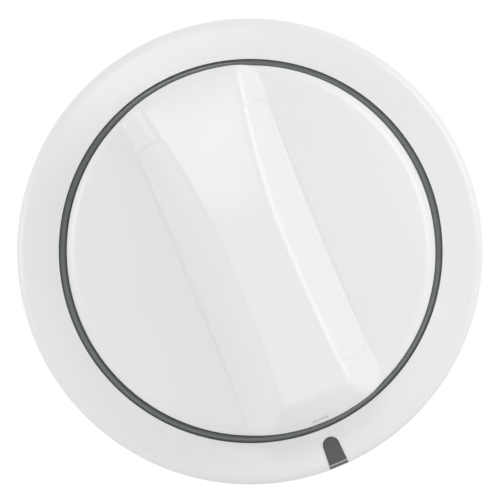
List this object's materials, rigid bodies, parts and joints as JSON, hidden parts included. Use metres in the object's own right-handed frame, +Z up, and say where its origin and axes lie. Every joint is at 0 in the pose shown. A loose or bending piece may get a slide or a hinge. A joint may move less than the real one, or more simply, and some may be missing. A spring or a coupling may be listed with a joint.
{
  "type": "push-pull rotary control switch",
  "caption": "Panel-mounted push-pull rotary switch worked by a round skirted knob with a raised grip bar, an inlaid ring and a pointer.",
  "frame": {"origin": "on the shaft's axis, in the plane of the mounting plate's front face, where the panel's back face rests", "axes": "-Y out of the panel towards the person who turns the knob, +Z up, +X to that person's right"},
  "size_m": [0.07, 0.0623, 0.07],
  "materials": {
    "white_moulding": "smooth moulded, soft gloss",
    "accent_gloss": "glossy dark grey",
    "pointer_grey": "satin dark grey",
    "hub_moulding": "natural moulded",
    "housing_moulding": "black moulded",
    "wafer_board": "brown insulating board",
    "rotor_moulding": "natural moulded",
    "plated_steel": "zinc plated",
    "spring_steel": "bright wire",
    "contact_brass": "bright",
    "tinned_brass": "tinned",
    "contact_silver": "silver contact"
  },
  "bodies": {
    "base": {"mounting_plate": "plated_steel", "shaft_bushing": "contact_brass", "front_housing": "housing_moulding", "contact_wafer": "wafer_board", "rear_cover": "housing_moulding", "housing_screw_1": "plated_steel", "housing_screw_2": "plated_steel", "housing_screw_3": "plated_steel", "housing_screw_4": "plated_steel", "common_terminal": "tinned_brass", "selector_terminal_1": "tinned_brass", "selector_terminal_2": "tinned_brass", "selector_terminal_3": "tinned_brass", "line_terminal_1": "tinned_brass", "line_terminal_2": "tinned_brass", "line_tip_1": "contact_silver", "line_tip_2": "contact_silver", "pull_detent_clip": "spring_steel", "detent_spring_1": "spring_steel", "detent_spring_2": "spring_steel"},
    "rotor": {"rotor": "rotor_moulding", "rotor_wiper": "contact_brass"},
    "knob": {"grip_cap": "white_moulding", "dial_skirt": "white_moulding", "accent_ring": "accent_gloss", "pointer_insert": "pointer_grey", "knob_hub": "hub_moulding", "hub_spring_clip": "spring_steel", "knob_screw_1": "plated_steel", "knob_screw_2": "plated_steel", "knob_screw_3": "plated_steel", "control_shaft": "plated_steel", "carrier_clip_1": "spring_steel", "carrier_clip_2": "spring_steel"},
    "bridge": {"bridge_carrier": "rotor_moulding", "bridge_contact": "contact_brass", "bridge_tip_1": "contact_silver", "bridge_tip_2": "contact_silver"},
    "ball_right": {"detent_ball_1": "plated_steel"},
    "ball_left": {"detent_ball_2": "plated_steel"}
  },
  "joints": [
    {"name": "knob_turn", "type": "hinge", "parent": "base", "child": "rotor", "pos_m": [0, 0, 0], "axis": [0, -1, 0], "continuous": true},
    {"name": "knob_pull", "type": "slide", "parent": "rotor", "child": "knob", "axis": [0, -1, 0], "range_m": [0, 0.004]},
    {"name": "bridge_slide", "type": "slide", "parent": "base", "child": "bridge", "axis": [0, -1, 0], "range_m": [0, 0.004]},
    {"name": "ball_right_slide", "type": "slide", "parent": "base", "child": "ball_right", "axis": [1, 0, 0], "range_m": [0, 0.0006], "stiffness_N_per_m": 1200, "springref_m": -0.0015, "deforming": ["detent_spring_1"]},
    {"name": "ball_left_slide", "type": "slide", "parent": "base", "child": "ball_left", "axis": [-1, 0, 0], "range_m": [0, 0.0006], "stiffness_N_per_m": 1200, "springref_m": -0.0015, "deforming": ["detent_spring_2"]}
  ],
  "couplings": [
    {"joint": "bridge_slide", "follows": "knob_pull", "ratio": 1}
  ]
}
